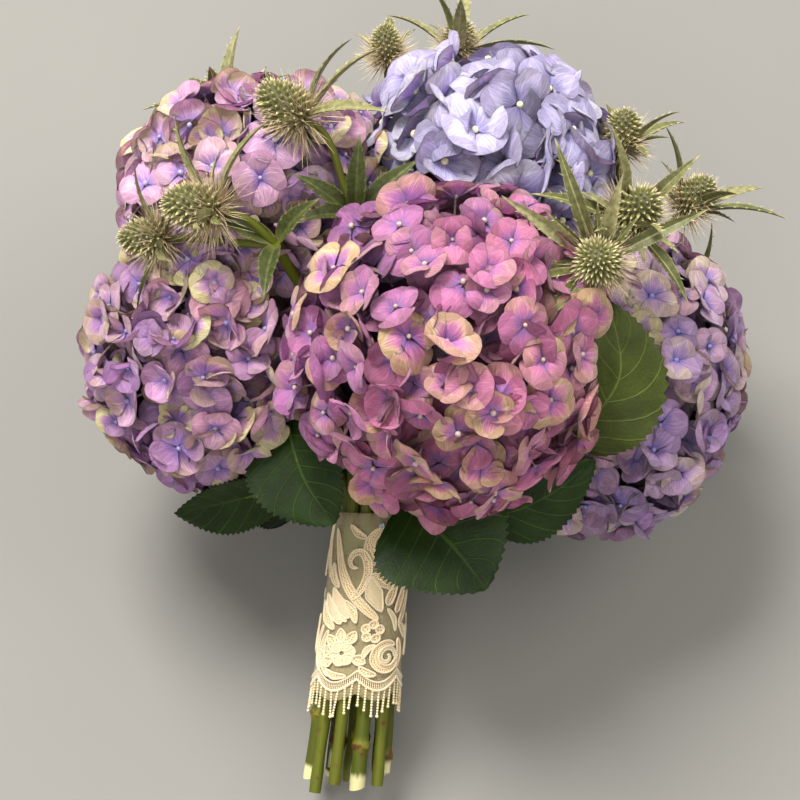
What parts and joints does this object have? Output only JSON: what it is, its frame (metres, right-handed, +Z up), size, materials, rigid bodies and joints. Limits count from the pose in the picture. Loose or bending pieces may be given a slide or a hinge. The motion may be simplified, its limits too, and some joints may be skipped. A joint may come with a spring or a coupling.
{
  "type": "bridal bouquet",
  "caption": "Hand-tied bridal bouquet of hydrangea heads and eryngium sprays, its stems bound and dressed in a lace sleeve with crystal-headed pins, lying on its back.",
  "frame": {"origin": "on the surface that the bouquet lies on, under the middle of its bounding box", "axes": "+Y from the cut stem ends towards the top of the bouquet, +X to the right as seen from its front, +Z up, away from the surface"},
  "size_m": [0.347, 0.4004, 0.2531],
  "materials": {
    "hydrangea_stem": "satin",
    "hydrangea_leaf": "satin",
    "petals_pink_magenta": "matt",
    "petals_violet": "matt",
    "petals_purple_pink": "matt",
    "petals_periwinkle": "matt",
    "petals_blue_violet": "matt",
    "petals_mauve": "matt",
    "petals_lilac": "matt",
    "eryngium": "matt",
    "floral_tape": "waxed",
    "lace": "matt",
    "crystal": "polished"
  },
  "bodies": {
    "root": {"stem_front": "hydrangea_stem", "stem_left": "hydrangea_stem", "stem_upper_left": "hydrangea_stem", "stem_top": "hydrangea_stem", "stem_right": "hydrangea_stem", "stem_back_left": "hydrangea_stem", "stem_back_right": "hydrangea_stem", "leaf_left_front": "hydrangea_leaf", "leaf_low_front": "hydrangea_leaf", "leaf_right_front": "hydrangea_leaf", "leaf_low_right": "hydrangea_leaf", "leaf_low_left": "hydrangea_leaf", "leaf_back_left": "hydrangea_leaf", "leaf_back_right": "hydrangea_leaf", "bloom_front": "petals_pink_magenta", "bloom_left": "petals_violet", "bloom_upper_left": "petals_purple_pink", "bloom_top": "petals_periwinkle", "bloom_right": "petals_blue_violet", "bloom_back_left": "petals_mauve", "bloom_back_right": "petals_lilac", "eryngium_front_left": "eryngium", "eryngium_left": "eryngium", "eryngium_upper_left": "eryngium", "eryngium_top": "eryngium", "eryngium_right": "eryngium", "eryngium_far_right": "eryngium", "binding_tape": "floral_tape", "lace_sleeve": "lace", "crystal_pin_1": "crystal", "crystal_pin_2": "crystal", "crystal_pin_3": "crystal"}
  },
  "joints": []
}
